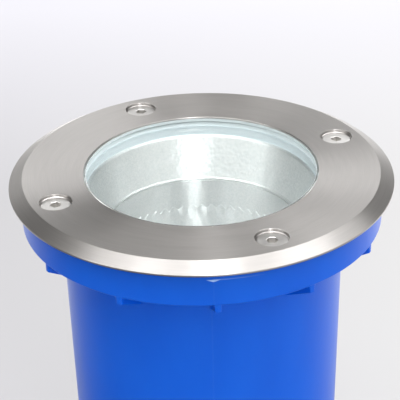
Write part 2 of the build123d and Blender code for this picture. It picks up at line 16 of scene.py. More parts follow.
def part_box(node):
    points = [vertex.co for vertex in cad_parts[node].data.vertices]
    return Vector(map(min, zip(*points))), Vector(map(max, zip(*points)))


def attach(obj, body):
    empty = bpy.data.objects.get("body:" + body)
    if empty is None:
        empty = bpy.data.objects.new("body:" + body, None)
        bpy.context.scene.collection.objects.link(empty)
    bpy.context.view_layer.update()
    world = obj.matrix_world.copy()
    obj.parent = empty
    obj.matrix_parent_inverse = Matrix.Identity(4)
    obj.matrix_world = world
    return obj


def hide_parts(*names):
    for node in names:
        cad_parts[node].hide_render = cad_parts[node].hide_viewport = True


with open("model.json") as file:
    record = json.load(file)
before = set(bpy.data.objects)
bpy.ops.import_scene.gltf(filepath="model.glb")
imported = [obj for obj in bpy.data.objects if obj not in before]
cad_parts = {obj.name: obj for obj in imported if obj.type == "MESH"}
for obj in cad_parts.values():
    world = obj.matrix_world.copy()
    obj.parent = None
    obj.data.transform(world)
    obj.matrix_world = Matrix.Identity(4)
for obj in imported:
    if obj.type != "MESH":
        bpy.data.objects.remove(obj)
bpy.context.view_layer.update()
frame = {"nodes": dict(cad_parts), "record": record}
nodes = frame["nodes"]
mm = 0.001

# %% [markdown]
# ## Writing node trees as sums
# A finish is a small calculation over a surface, and so is a piece whose shape follows a rule. Both are
# node trees in Blender. They could be wired by hand, one Math node at a time, but a formula is easier to
# read, so one small class stands for a wire and lets Python's own operators add the Math nodes.


# %% A wire that can be added and multiplied
class Wire:
    """One output in a node tree."""

    def __init__(self, tree, socket):
        self.tree = tree
        self.socket = socket

    def __add__(self, other):
        return self.tree.math("ADD", self, other)

    def __radd__(self, other):
        return self.tree.math("ADD", other, self)

    def __sub__(self, other):
        return self.tree.math("SUBTRACT", self, other)

    def __rsub__(self, other):
        return self.tree.math("SUBTRACT", other, self)

    def __mul__(self, other):
        return self.tree.math("MULTIPLY", self, other)

    def __rmul__(self, other):
        return self.tree.math("MULTIPLY", other, self)

    def __truediv__(self, other):
        return self.tree.math("DIVIDE", self, other)

    def __rtruediv__(self, other):
        return self.tree.math("DIVIDE", other, self)

    def __pow__(self, power):
        return self.tree.math("POWER", self, power)


# %% Adding any node to a tree
class Tree:
    """A node tree. Settings are given to a node first, then its sockets get a value or a wire."""

    def __init__(self, tree):
        self.tree = tree

    def node(self, kind, settings=(), sockets=()):
        made = self.tree.nodes.new(kind)
        for name, value in dict(settings).items():
            if name == "stops":
                stops = made.color_ramp.elements
                while len(stops) < len(value):
                    stops.new(1.0)
                for stop, (place, level) in zip(stops, value):
                    stop.position = place
                    stop.color = (level, level, level, 1)
            else:
                setattr(made, name, value)
        for name, value in dict(sockets).items():
            if isinstance(value, Wire):
                self.tree.links.new(value.socket, made.inputs[name])
            else:
                made.inputs[name].default_value = value
        return made

    def wire(self, kind, settings=(), sockets=(), out=0):
        return Wire(self, self.node(kind, settings, sockets).outputs[out])

    def math(self, operation, *values):
        return self.wire("ShaderNodeMath", {"operation": operation}, enumerate(values))

    def vector(self, x, y, z):
        return self.wire("ShaderNodeCombineXYZ", (), {"X": x, "Y": y, "Z": z})

    def parts(self, vector):
        return [Wire(self, socket) for socket in self.node("ShaderNodeSeparateXYZ", (), {0: vector}).outputs]

    def rays(self, *kinds):
        """One wire for each kind of ray, 1 while such a ray is traced and 0 otherwise."""
        path = self.node("ShaderNodeLightPath")
        return [Wire(self, path.outputs[kind]) for kind in kinds]


# %% A material's tree
class Finish(Tree):
    """A material whose patterns are laid out on the piece's own coordinates, in metres."""

    def __init__(self, name):
        self.material = bpy.data.materials.new(name)
        self.material.use_nodes = True
        super().__init__(self.material.node_tree)
        self.tree.nodes.clear()
        self.place = self.wire("ShaderNodeTexCoord", out="Object")

    def grain(self, size, detail=2.0, place=None):
        """Cloudy noise whose lumps are about size across, from 0 to 1."""
        sockets = {"Vector": place or self.place, "Scale": 1 / size, "Detail": detail}
        return self.wire("ShaderNodeTexNoise", (), sockets)

    def ramp(self, value, *stops):
        return self.wire("ShaderNodeValToRGB", {"stops": stops}, {0: value})

    def mix(self, share, one, two, how="MIX"):
        settings = {"data_type": "RGBA", "blend_type": how}
        return self.wire("ShaderNodeMix", settings, {0: share, 6: one, 7: two}, out=2)

    def bump(self, height, depth, strength=1.0):
        sockets = {"Height": height, "Distance": depth, "Strength": strength}
        return self.wire("ShaderNodeBump", (), sockets)

    def surface(self, sockets):
        """The Principled surface that ends the tree."""
        shader = self.wire("ShaderNodeBsdfPrincipled", (), sockets)
        return self.end(shader)

    def end(self, shader):
        self.node("ShaderNodeOutputMaterial", (), {"Surface": shader})
        print("finish:", self.material.name, len(self.tree.nodes), "nodes")
        return self.material


def rgb(red, green, blue):
    return (red, green, blue, 1.0)


# %% [markdown]
# ## The camera
# The light is seen from the front and about 28 degrees above the ring's plane, with a long lens that hardly
# narrows the far side. The place, tilt and lens below were worked out from the ring's two ellipses and the
# four screws, so they are the view that makes those line up. Depth of field stays off.

# %% Place the camera
ring_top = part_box("bezel")[1].z
ring_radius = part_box("bezel")[1].x
view_distance = 7.7861 * ring_radius
view_height = radians(27.54)
view_pitch = radians(28.77)
view_turn = radians(-0.07)
view_roll = radians(-1.39)
frame_side = 400
focal_pixels = 1497.26

forward = Vector((0, cos(view_pitch), -sin(view_pitch)))
upward = Vector((0, sin(view_pitch), cos(view_pitch)))
sideways = Vector((1, 0, 0))
look = cos(view_turn) * forward + sin(view_turn) * sideways
level = cos(view_turn) * sideways - sin(view_turn) * forward
across = cos(view_roll) * level + sin(view_roll) * upward
above = cos(view_roll) * upward - sin(view_roll) * level
eye = Vector((0, -view_distance * cos(view_height), ring_top + view_distance * sin(view_height)))

camera = bpy.data.objects.new("camera", bpy.data.cameras.new("camera"))
camera.data.sensor_width = 36
camera.data.lens = focal_pixels * camera.data.sensor_width / frame_side
camera.matrix_world = Matrix.Translation(eye) @ Matrix((across, above, -look)).transposed().to_4x4()
bpy.context.scene.collection.objects.link(camera)
bpy.context.scene.camera = camera
bpy.context.scene.view_settings.view_transform = "Standard"
print("lens in mm", round(camera.data.lens, 1), "at", [round(v, 3) for v in eye])

# %% [markdown]
# ## The room
# The picture is a plain studio shot with pale paper under and behind the object. The room could be built as
# walls, but a world does the same and stays out of every other view. It answers each ray by its kind: the
# camera sees paper, a rough surface is lit a little more from the right, and a mirror sees a dark wall
# behind, a bright one in front and a bright front half of the ceiling.

# %% World light
room_level = 0.62
room_behind = 0.22
room_in_front = 0.90
room_overhead = 0.65
paper_far = rgb(0.88, 0.87, 0.915)

world = bpy.data.worlds.new("studio")
world.use_nodes = True
bpy.context.scene.world = world
room = Tree(world.node_tree)
room.tree.nodes.clear()
seen, mirrored, through = room.rays("Is Camera Ray", "Is Glossy Ray", "Is Transmission Ray")
to_right, to_back, to_ceiling = room.parts(room.wire("ShaderNodeTexCoord", out="Generated"))


def fade(value, start, end):
    """A soft step: 0 up to start and 1 from end."""
    return room.wire("ShaderNodeMapRange", {"interpolation_type": "SMOOTHSTEP"}, {0: value, 1: start, 2: end})


front_wall = fade(to_back, 0.25, -0.45)
front_ceiling = fade(to_back, 0.60, 0.0) * fade(to_ceiling, 0.35, 0.75)
mirror_level = room_behind + (room_in_front - room_behind) * front_wall + room_overhead * front_ceiling
rough_light = {"Color": rgb(0.97, 0.985, 1.0), "Strength": room_level * (1.0 + 0.7 * to_right)}
plain = room.wire("ShaderNodeBackground", (), rough_light)
dim = room.wire("ShaderNodeBackground", (), {"Color": rgb(1.0, 0.99, 0.975), "Strength": mirror_level})
paper = room.wire("ShaderNodeBackground", (), {"Color": paper_far, "Strength": 1.0})
in_mirror = room.math("MAXIMUM", mirrored, through)
reflected = room.wire("ShaderNodeMixShader", (), {0: in_mirror, 1: plain, 2: dim})
around_us = room.wire("ShaderNodeMixShader", (), {0: seen, 1: reflected, 2: paper})
room.node("ShaderNodeOutputWorld", (), {"Surface": around_us})
print("world:", len(room.tree.nodes), "nodes")

# %% [markdown]
# ## Soft boxes
# Each bright fan on the brushed ring is the reflection of one soft light. The lights could be painted into
# the world, but a lamp can be moved by itself and lights the rough surfaces as well. Ten of them stand
# round the object: those at the back and the sides make the fans and the shine on the bevel, and the strip
# in front makes the bright column in the reflector.

# %% Soft boxes
box_distance = 1.25


def soft_box(name, bearing, height, half_width, half_depth, level):
    """An evenly bright rectangle that faces the ring. Bearing, from the back towards the right, and height are
    in degrees, and the half sizes are tangents of the angles they fill."""
    swung, raised = radians(bearing), radians(height)
    outward = Vector((sin(swung) * cos(raised), cos(swung) * cos(raised), sin(raised)))
    along = Vector((cos(swung), -sin(swung), 0))
    lamp = bpy.data.lights.new(name, "AREA")
    lamp.shape = "RECTANGLE"
    lamp.size = 2 * half_width * box_distance
    lamp.size_y = 2 * half_depth * box_distance
    lamp.energy = level * lamp.size * lamp.size_y * pi
    box = bpy.data.objects.new(name, lamp)
    place = Vector((0, 0, ring_top)) + outward * box_distance
    axes = Matrix((along, outward.cross(along), outward)).transposed().to_4x4()
    box.matrix_world = Matrix.Translation(place) @ axes
    bpy.context.scene.collection.objects.link(box)
    box.visible_camera = False
    print("lamp:", name, "watts", round(lamp.energy, 2))


soft_box("ceiling_strip", 150, 80, 0.80, 0.10, 5.8)
soft_box("back_high", 14, 30, 0.09, 0.10, 2.5)
soft_box("back_low_left", 350, 10, 0.10, 0.25, 3.2)
soft_box("back_low_right", 10, 10, 0.10, 0.10, 4.4)
soft_box("back_tall", 20, 22, 0.10, 0.45, 0.8)
soft_box("back_left", 338, 25, 0.16, 0.10, 2.4)
soft_box("left_tall", 250, 50, 0.10, 0.50, 5.0)
soft_box("right_high", 80, 60, 0.80, 0.10, 1.6)
soft_box("right_tall", 68, 42, 0.12, 0.25, 2.4)
soft_box("front_strip", 170, 45, 0.070, 0.55, 12.0)

# %% [markdown]
# ## The paper under it
# The floor is a wide sheet of paper. Its colour carries painted shade, laid out on the floor's own
# coordinates:
# darker near the camera and on the left, paler to the right and as it runs back. A share of it shines by
# itself to the camera alone, so the paper stays even while the object's shadow still falls on it. The blue
# wall and the bevel mirror it too. In the photo they mirror something dark on the left and pale on the right
# and behind, so the paper has a second brightness that only mirrors see.

# %% Floor
floor_reach = 6.0
own_share = 0.7
# painted shade: these tones make the paper darker near the camera and on the left, paler to the right and back
near_left, near_right = rgb(0.622, 0.614, 0.630), rgb(0.745, 0.738, 0.738)
far_left, far_right = rgb(0.82, 0.81, 0.86), rgb(0.855, 0.845, 0.89)
bpy.ops.mesh.primitive_circle_add(vertices=64, radius=floor_reach, fill_type="NGON", location=(0, 0, 0))
floor = bpy.context.object
floor.name = "paper_floor"
card = Finish("paper")
floor_x, floor_y, _ = card.parts(card.place)
rightward = card.ramp(floor_x + 0.5, (0.34, 0), (0.66, 1))
near_painted_shading = card.mix(rightward, near_left, near_right)
far_painted_shading = card.mix(rightward, far_left, far_right)
tone = card.mix(card.ramp(floor_y, (0.42, 0), (0.80, 1)), near_painted_shading, far_painted_shading)
fibre = card.grain(0.004, 4)
lit = card.wire("ShaderNodeBsdfDiffuse", (), {"Color": tone, "Normal": card.bump(fibre, 0.00002)})
own = card.wire("ShaderNodeEmission", (), {"Color": tone, "Strength": 1.0})
to_eye, to_mirror = card.rays("Is Camera Ray", "Is Glossy Ray")
to_people = card.wire("ShaderNodeMixShader", (), {0: to_eye * own_share, 1: lit, 2: own})
pale_right = card.ramp(floor_x * 0.5 + 0.5, (0.52, 0), (0.76, 1))
pale_behind = card.ramp(floor_y * 0.5 + 0.5, (0.475, 0), (0.65, 1))
shine = 0.03 + pale_right * 0.8 + pale_behind * 1.2
to_metal = card.wire("ShaderNodeEmission", (), {"Color": rgb(1.0, 1.0, 1.0), "Strength": shine})
paper_shader = card.wire("ShaderNodeMixShader", (), {0: to_mirror, 1: to_people, 2: to_metal})
floor.data.materials.append(card.end(paper_shader))

# %% [markdown]
# ## Drawing turned pieces
# Nearly every part of the light is turned, pressed or moulded round one axis. A real edge is never quite
# sharp: a tool or a mould leaves a small round that catches the light. So an outline is a list of corners,
# each with its own rounding, and a short strip of flat on both sides of every arc keeps the flats flat when
# the shading is smoothed.

# %% Rounded outlines
guard = 0.18


def rounded(corners, steps=5):
    """A closed outline of (radius, height) points, in mm, from (radius, height, rounding) corners."""
    points = []
    for index, corner in enumerate(corners):
        here = Vector(corner[:2])
        before = Vector(corners[index - 1][:2]) - here
        after = Vector(corners[(index + 1) % len(corners)][:2]) - here
        rounding = corner[2] if len(corner) > 2 else 0
        if not rounding:
            points.append(tuple(here))
            continue
        half = before.angle(after) / 2
        reach = min(rounding / tan(half), 0.45 * before.length, 0.45 * after.length)
        radius = reach * tan(half)
        centre = here + (before.normalized() + after.normalized()).normalized() * radius / sin(half)
        first = here + before.normalized() * reach - centre
        last = here + after.normalized() * reach - centre
        strip = min(guard, 0.2 * before.length)
        points.append(tuple(centre + first + before.normalized() * strip))
        for step in range(steps + 1):
            share = step / steps
            points.append(tuple(centre + first.slerp(last, share).normalized() * radius))
        strip = min(guard, 0.2 * after.length)
        points.append(tuple(centre + last + after.normalized() * strip))
    return points


# %% Meshes from outlines
def as_piece(name, shape, soften=32):
    """An object at the origin from a bmesh, smooth except along edges sharper than soften degrees."""
    mesh = bpy.data.meshes.new(name)
    shape.to_mesh(mesh)
    shape.free()
    mesh.shade_smooth()
    mesh.set_sharp_from_angle(angle=radians(soften))
    piece = bpy.data.objects.new(name, mesh)
    bpy.context.scene.collection.objects.link(piece)
    return piece


def turned(name, points, steps=192, x=0.0, y=0.0, displace=None):
    """A closed outline of (radius, height) points in mm, turned about an upright axis."""
    shape = bmesh.new()
    rings = []
    for radius, height in points:
        if radius < 1e-6:
            rings.append([shape.verts.new((x * mm, y * mm, height * mm))])
            continue
        ring = []
        for step in range(steps):
            angle = 2 * pi * step / steps
            far = radius + (displace(radius, height, angle) if displace else 0)
            place = ((x + far * cos(angle)) * mm, (y + far * sin(angle)) * mm, height * mm)
            ring.append(shape.verts.new(place))
        rings.append(ring)
    for ring, following in zip(rings, rings[1:] + rings[:1]):
        for step in range(steps):
            after = step + 1
            quad = [ring[step % len(ring)], ring[after % steps % len(ring)]]
            quad += [following[after % steps % len(following)], following[step % len(following)]]
            face = list(dict.fromkeys(quad))
            if len(face) > 2:
                shape.faces.new(face)
    bmesh.ops.recalc_face_normals(shape, faces=shape.faces)
    return as_piece(name, shape)


# %% Plain meshes from modifiers
def settle(piece, soften=32):
    """Turns a piece and its modifiers into one plain mesh."""
    whole = piece.evaluated_get(bpy.context.evaluated_depsgraph_get())
    mesh = bpy.data.meshes.new_from_object(whole)
    piece.modifiers.clear()
    piece.data = mesh
    mesh.shade_smooth()
    mesh.set_sharp_from_angle(angle=radians(soften))
    return piece


def carve(piece, *cutters, soften=32):
    """Takes the cutters out of a piece."""
    for cutter in cutters:
        change = piece.modifiers.new("carve", "BOOLEAN")
        change.operation = "DIFFERENCE"
        change.solver = "EXACT"
        change.object = cutter
    settle(piece, soften)
    for cutter in cutters:
        bpy.data.objects.remove(cutter)
    return piece


def place_piece(piece, body, material, slot, *stands_for):
    """Gives a piece its finish and its body, and hides the frame's nodes that it stands for."""
    piece.data.materials.clear()
    piece.data.materials.append(material)
    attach(piece, body)
    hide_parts(*stands_for)
    piece.data.calc_loop_triangles()
    print("piece:", piece.name, len(piece.data.loop_triangles), "triangles")
    return piece


# %% [markdown]
# ## Copies round the axis
# Screws, rivets and ribs repeat round the lamp's axis. They could be copied in a loop, but geometry nodes
# keep one master shape and a few numbers: how many, how far out, and where the first one stands. Each copy
# is turned to face outwards. The tree is built once and used for all of them.


# %% A geometry node tree that sets copies on a circle
def group_tree(name, inputs):
    """An empty geometry node group with a Geometry input, the named number inputs and a Geometry output."""
    group = bpy.data.node_groups.new(name, "GeometryNodeTree")
    group.interface.new_socket("Geometry", in_out="OUTPUT", socket_type="NodeSocketGeometry")
    group.interface.new_socket("Geometry", in_out="INPUT", socket_type="NodeSocketGeometry")
    for label, kind in inputs:
        group.interface.new_socket(label, in_out="INPUT", socket_type=kind)
    group.interface.new_socket("Finish", in_out="INPUT", socket_type="NodeSocketMaterial")
    tree = Tree(group)
    given = tree.node("NodeGroupInput")
    return tree, {socket.name: Wire(tree, socket) for socket in given.outputs if socket.name}


def close_group(tree, geometry, finish):
    """Every tree ends the same way: real geometry, then its material."""
    real = tree.wire("GeometryNodeRealizeInstances", (), {"Geometry": geometry})
    painted = tree.wire("GeometryNodeSetMaterial", (), {"Geometry": real, "Material": finish})
    tree.node("NodeGroupOutput", (), {"Geometry": painted})
    return tree.tree


def run_group(piece, group, values):
    """Runs a tree on a piece with its inputs set, and keeps the result as a plain mesh."""
    modifier = piece.modifiers.new(group.name, "NODES")
    modifier.node_group = group
    for socket in group.interface.items_tree:
        if socket.in_out == "INPUT" and socket.name in values:
            modifier[socket.identifier] = values[socket.name]
    return settle(piece)


circle_inputs = [("Count", "NodeSocketInt"), ("Radius", "NodeSocketFloat"), ("First", "NodeSocketFloat")]
circle, given = group_tree("copies_on_a_circle", circle_inputs)
turn = given["First"] + circle.wire("GeometryNodeInputIndex") * (2 * pi) / given["Count"]
spot_x = circle.math("COSINE", turn) * given["Radius"]
spot_y = circle.math("SINE", turn) * given["Radius"]
spot = circle.vector(spot_x, spot_y, 0.0)
spots = circle.wire("GeometryNodePoints", (), {"Count": given["Count"], "Position": spot})
facing = circle.wire("FunctionNodeEulerToRotation", (), {0: circle.vector(0.0, 0.0, turn)})
copies = {"Points": spots, "Instance": given["Geometry"], "Rotation": facing}
placed = circle.wire("GeometryNodeInstanceOnPoints", (), copies)
circle_group = close_group(circle, placed, given["Finish"])


def ring_of(piece, count, radius, first, material):
    """Copies of a piece round the axis, radius in mm and first in degrees."""
    values = {"Count": count, "Radius": radius * mm, "First": radians(first), "Finish": material}
    return run_group(piece, circle_group, values)


# %% [markdown]
# ## Brushed stainless steel
# The ring is turned from plate and finished with an abrasive pad while it spins, so the scratches run in
# circles. Each scratch is far too fine to model. What the eye sees is a reflection that is short along the
# scratches and long across them, which is the shader's anisotropy, and here and there a deeper line. The
# noise is stretched along the circle by feeding it the direction from the axis and the distance from it.

# %% Ring finish
brushed = Finish("brushed_stainless")
ring_x, ring_y, _ = brushed.parts(brushed.place)
from_axis = (ring_x * ring_x + ring_y * ring_y) ** 0.5
round_x = ring_x / from_axis
round_y = ring_y / from_axis
hair = brushed.grain(1.0, 3, brushed.vector(round_x * 5.0, round_y * 5.0, from_axis / 0.00028))
band = brushed.grain(1.0, 2, brushed.vector(round_x * 2.2, round_y * 2.2, from_axis / 0.0022))
cloud = brushed.grain(0.03, 3)
streak = hair * 0.6 + band * 0.4
brushed_tone = brushed.mix(streak, rgb(0.355, 0.342, 0.333), rgb(0.50, 0.482, 0.468))
brushed_steel = brushed.surface(
    {
        "Base Color": brushed_tone,
        "Metallic": 1.0,
        "Roughness": 0.32 + 0.06 * cloud + 0.04 * band,
        "Anisotropic": 0.89,
        "Anisotropic Rotation": 0.25,
        "Normal": brushed.bump(hair * 0.7 + band * 0.3, 0.000012),
    }
)

# %% [markdown]
# ## The cover ring
# It is one turned plate: a flat top, a wide bevel down to a thin land, a thicker pad underneath that rests
# on the can, and four stepped holes that let the screw heads sit below the surface. The outline is turned,
# and four turned cutters take out the holes, each with the small break a deburring tool leaves at its
# mouth.

# %% Turn the ring
ring_underside = 235.9
ring_pad_foot = 234.0
ring_height = ring_top / mm
land_top = 236.7
opening_radius = 48.8
pad_inner = 58.8
pad_outer = 71.2
bevel_inner = 74.3
ring_outer = 80.0
cover_outline = [
    (opening_radius, ring_underside, 0.25),
    (pad_inner, ring_underside, 0.2),
    (pad_inner, ring_pad_foot, 0.3),
    (pad_outer, ring_pad_foot, 0.3),
    (pad_outer, ring_underside, 0.2),
    (ring_outer, ring_underside, 0.2),
    (ring_outer, land_top, 0.3),
    (bevel_inner, ring_height, 0.6),
    (opening_radius, ring_height, 0.3),
]
cover_ring = turned("cover_ring", rounded(cover_outline), steps=256)

# %% Cut the stepped holes
screw_count = 4
screw_first = 24.3
screw_circle = 64.35
hole_radius = 6.7
hole_depth = 1.2
hole_outline = [
    (0, 233.0),
    (3.4, 233.0),
    (3.4, 235.6),
    (6.2, 238.4),
    (hole_radius, ring_height - hole_depth),
    (hole_radius, ring_height - 0.28),
    (hole_radius + 0.09, ring_height - 0.08),
    (hole_radius + 0.30, ring_height + 0.02),
    (hole_radius + 0.30, ring_height + 1.0),
    (0, ring_height + 1.0),
]
cutters = []
for index in range(screw_count):
    angle = radians(screw_first + index * 360 / screw_count)
    centre = (screw_circle * cos(angle), screw_circle * sin(angle))
    cutters.append(turned(f"hole_{index}", hole_outline, 64, *centre))
carve(cover_ring, *cutters, soften=20)
place_piece(cover_ring, "cover", brushed_steel, "brushed_stainless", "bezel")

# %% [markdown]
# ## The cover screws
# Four countersunk screws with a hexagon socket. The head's face is turned, so it carries faint rings, and a
# small cone is left at the bottom of the socket by the drill. The thread is a row of ridges. One screw is
# made and the tree sets the four of them on their circle.

# %% Screw finish
fastener = Finish("stainless_fasteners")
fastener_grain = fastener.grain(0.0009, 4)
fastener_wear = fastener.grain(0.004, 2)
fastener_steel = fastener.surface(
    {
        "Base Color": fastener.mix(fastener_wear, rgb(0.54, 0.53, 0.515), rgb(0.72, 0.705, 0.69)),
        "Metallic": 1.0,
        "Roughness": 0.24 + 0.16 * fastener_wear,
        "Normal": fastener.bump(fastener_grain, 0.00001),
    }
)

# %% One screw
head_top = ring_height - hole_depth
thread_pitch = 1.0
thread_foot = head_top - 11.2
screw_outline = [(0, thread_foot - 0.4), (2.3, thread_foot - 0.4), (2.7, thread_foot)]
for ridge in range(7):
    foot = thread_foot + ridge * thread_pitch
    screw_outline += [(2.68, foot + 0.15), (2.98, foot + 0.45), (2.98, foot + 0.6), (2.68, foot + 0.9)]
screw_outline += [
    (2.95, head_top - 3.9),
    (2.95, head_top - 3.6),
    (6.0, head_top - 0.55),
    (6.1, head_top - 0.42),
    (6.1, head_top - 0.18),
    (6.02, head_top - 0.06),
    (5.85, head_top),
    (5.6, head_top),
    (0, head_top),
]
screw = turned("cover_screws", screw_outline, steps=56)

# %% Its hexagon socket
socket_flats = 4.0
socket_depth = 2.4
socket_profile = [(0.0, -socket_depth - 0.5), (1.0, -socket_depth), (1.0, -0.16)]
socket_profile += [(1.11, 0.02), (1.11, 0.8), (0.0, 0.8)]
socket = bmesh.new()
socket_rings = []
for reach, height in socket_profile:
    corner = reach * socket_flats / sqrt(3)
    points = [(corner * cos(side * pi / 3), corner * sin(side * pi / 3)) for side in range(6 if reach else 1)]
    socket_rings.append([socket.verts.new((x * mm, y * mm, (head_top + height) * mm)) for x, y in points])
for lower, upper in zip(socket_rings, socket_rings[1:]):
    for side in range(6):
        quad = [lower[side % len(lower)], lower[(side + 1) % len(lower)]]
        quad += [upper[(side + 1) % len(upper)], upper[side % len(upper)]]
        socket.faces.new(list(dict.fromkeys(quad)))
bmesh.ops.recalc_face_normals(socket, faces=socket.faces)
carve(screw, as_piece("socket", socket))
ring_of(screw, screw_count, screw_circle, screw_first, fastener_steel)
place_piece(screw, "cover", fastener_steel, "stainless_fasteners", "bezel_screws")

# %% [markdown]
# ## The glass
# A disc of toughened glass with a step: the raised middle fills the ring's opening almost flush and the
# wider foot is held under the ring. The step's wall is ground, so it is dull. Light has to reach the
# reflector through the disc. Tracing that by chance alone would leave the render full of specks, so rays
# that carry light or follow a mirror pass straight through, and only the camera's own rays are bent and
# tinted.


# %% Bent for the eye, straight for the light
def see_through(made, solid, tint):
    """Ends a clear finish. A ray that leaves rough glass counts as glossy too, hence the transmission."""
    shadow, diffuse, glossy, through = made.rays(
        "Is Shadow Ray", "Is Diffuse Ray", "Is Glossy Ray", "Is Transmission Ray"
    )
    passing = made.math("MAXIMUM", made.math("MAXIMUM", shadow, diffuse), glossy * (1.0 - through))
    straight = made.wire("ShaderNodeBsdfTransparent", (), {"Color": tint})
    return made.end(made.wire("ShaderNodeMixShader", (), {0: passing, 1: solid, 2: straight}))



# %% Glass finish
clear = Finish("clear_glass")
smear = clear.grain(0.02, 3)
glass_x, glass_y, glass_z = clear.parts(clear.place)
ground_edge = clear.math("GREATER_THAN", (glass_x * glass_x + glass_y * glass_y) ** 0.5, 48.25 * mm)
ground_edge = ground_edge * clear.math("LESS_THAN", glass_z, ring_top - 0.8 * mm)
solid_glass = clear.wire(
    "ShaderNodeBsdfPrincipled",
    (),
    {
        "Base Color": clear.mix(smear, rgb(0.955, 0.985, 0.975), rgb(0.97, 0.99, 0.983)),
        "Roughness": 0.004 + 0.01 * smear + 0.45 * ground_edge,
        "IOR": 1.52,
        "Transmission Weight": 1.0,
    },
)
ground_tone = clear.mix(smear, rgb(0.70, 0.78, 0.80), rgb(0.78, 0.85, 0.87))
ground = clear.wire("ShaderNodeBsdfDiffuse", (), {"Color": ground_tone})
seen_glass = clear.wire("ShaderNodeMixShader", (), {0: ground_edge * 0.85, 1: solid_glass, 2: ground})
clear_glass = see_through(clear, seen_glass, rgb(0.975, 0.99, 0.985))

# %% The stepped disc
glass_foot, glass_face = (corner.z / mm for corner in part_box("lens_glass"))
glass_step = glass_face - 4.4
glass_radius = 48.4
glass_foot_radius = 55.0
glass_outline = [
    (0, glass_foot),
    (glass_foot_radius, glass_foot, 0.6),
    (glass_foot_radius, glass_step, 0.6),
    (glass_radius, glass_step, 0.25),
    (glass_radius, glass_face, 0.45),
    (0, glass_face),
]
lens = turned("stepped_glass", rounded(glass_outline), steps=256)
place_piece(lens, "lens", clear_glass, "clear_glass", "lens_glass")

# %% [markdown]
# ## Rubbers and the pale spacer
# The glass sits in a channel of silicone, and a paler ring under it holds the reflector's rim. Both are
# moulded, so their corners are soft and their surface is a fine, dull grain.


# %% A dull moulded finish
def moulded(name, dark, light, rough, grain_size, depth, more=()):
    """Moulded or cast surface: two shades of one colour, and a grain that is also felt in the gloss."""
    made = Finish(name)
    patches = made.grain(grain_size * 14, 3)
    fine = made.grain(grain_size, 4)
    sockets = {
        "Base Color": made.mix(patches, dark, light),
        "Roughness": (rough - 0.06) + 0.12 * fine,
        "Normal": made.bump(fine, depth),
    }
    sockets.update(more)
    return made.surface(sockets)


silicone = moulded("silicone", rgb(0.50, 0.56, 0.58), rgb(0.60, 0.65, 0.67), 0.5, 0.0006, 0.00002)
pale_plastic = moulded("pale_plastic", rgb(0.66, 0.74, 0.78), rgb(0.72, 0.80, 0.84), 0.42, 0.0005, 0.00001)

# %% Channel gasket
channel_outline = [
    (50.7, 229.2, 0.35),
    (57.0, 229.2, 0.5),
    (57.0, 231.0, 0.2),
    (56.7, 231.5, 0.2),
    (57.0, 232.0, 0.2),
    (57.0, 235.8, 0.5),
    (50.7, 235.8, 0.3),
    (50.7, 235.3, 0.15),
    (55.1, 235.3, 0.2),
    (55.1, 230.6, 0.2),
    (50.7, 230.6, 0.3),
]
channel = turned("channel_gasket", rounded(channel_outline, 3), steps=192)
place_piece(channel, "lens", silicone, "silicone", "lens_gasket")

# %% Spacer ring
spacer_foot, spacer_top = (corner.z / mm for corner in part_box("reflector_spacer"))
spacer_outline = [
    (48.3, spacer_foot, 0.15),
    (50.2, spacer_foot, 0.2),
    (50.2, spacer_top, 0.3),
    (48.3, spacer_top, 0.35),
]
spacer = turned("spacer_ring", rounded(spacer_outline), steps=192)
place_piece(spacer, "luminaire", pale_plastic, "pale_plastic", "reflector_spacer")

# %% [markdown]
# ## The hammered cone
# The upper reflector is spun from bright aluminium sheet and then struck all over with a small round tool,
# which breaks the reflection into specks so that the beam has no hard edge. The dents are real here: the
# cone's wall is a dense mesh and every point is pushed outwards by the distance to the nearest of many
# scattered centres.


# %% Aluminium finish
def bright_aluminium(name, rough, drawn, spots):
    """Bright anodised sheet with faint clouds; drawn is how far spinning draws its reflections upright."""
    made = Finish(name)
    haze = made.grain(0.006, 3)
    fine = made.grain(spots, 3)
    clouds = haze * 0.4 + made.ramp(fine, (0.40, 0), (0.62, 1)) * 0.6
    return made.surface(
        {
            "Base Color": made.mix(clouds, rgb(0.86, 0.885, 0.89), rgb(1.0, 1.0, 1.0)),
            "Metallic": 1.0,
            "Roughness": rough + 0.06 * fine,
            "Anisotropic": drawn,
            "Anisotropic Rotation": 0.25,
            "Normal": made.bump(fine, 0.00001),
        }
    )


hammered_aluminium = bright_aluminium("hammered_aluminium", 0.46, 0.85, 0.0010)
faceted_aluminium = bright_aluminium("faceted_aluminium", 0.39, 0.97, 0.0009)

# %% The cone's wall
rim_top = spacer_foot
sheet = 0.8
cone_foot = rim_top - 19.5
throat_inner = 46.8
foot_inner = 41.9
dent_size = 1.5
dent_depth = 0.10


def dents(radius, height, angle):
    """How far a point of the inner wall is pushed out by the hammering."""
    inside = foot_inner + (height - cone_foot) * (throat_inner - foot_inner) / (rim_top - sheet - cone_foot)
    if radius > inside + 0.3 or height > rim_top - sheet + 0.05 or height < cone_foot + 2 * sheet:
        return 0
    place = Vector((radius * cos(angle), radius * sin(angle), height)) / dent_size
    near = noise.voronoi(place)[0]
    swell = noise.noise(place * 0.35)
    return dent_depth * (0.7 - min(near[0] * 1.3, 1)) + 0.04 * swell


wall_rows = 46
cone_outline = [(50.2, rim_top - sheet), (50.2, rim_top), (47.9, rim_top)]
cone_outline += [(47.3, rim_top - 0.12), (46.95, rim_top - 0.4)]
for row in range(wall_rows + 1):
    share = row / wall_rows
    drop = rim_top - sheet - share * (rim_top - sheet - cone_foot - sheet)
    cone_outline.append((throat_inner + share * (foot_inner - throat_inner), drop))
cone_outline += [
    (foot_inner, cone_foot),
    (46.2, cone_foot),
    (46.2, cone_foot + sheet),
    (foot_inner + sheet, cone_foot + sheet),
    (47.6, rim_top - sheet),
]
cone = turned("hammered_cone", cone_outline, steps=640, displace=dents)

# %% [markdown]
# The cone ends in a rolled bead. It is bright and round, so it shows as a thin line of light round the
# bowl's mouth.

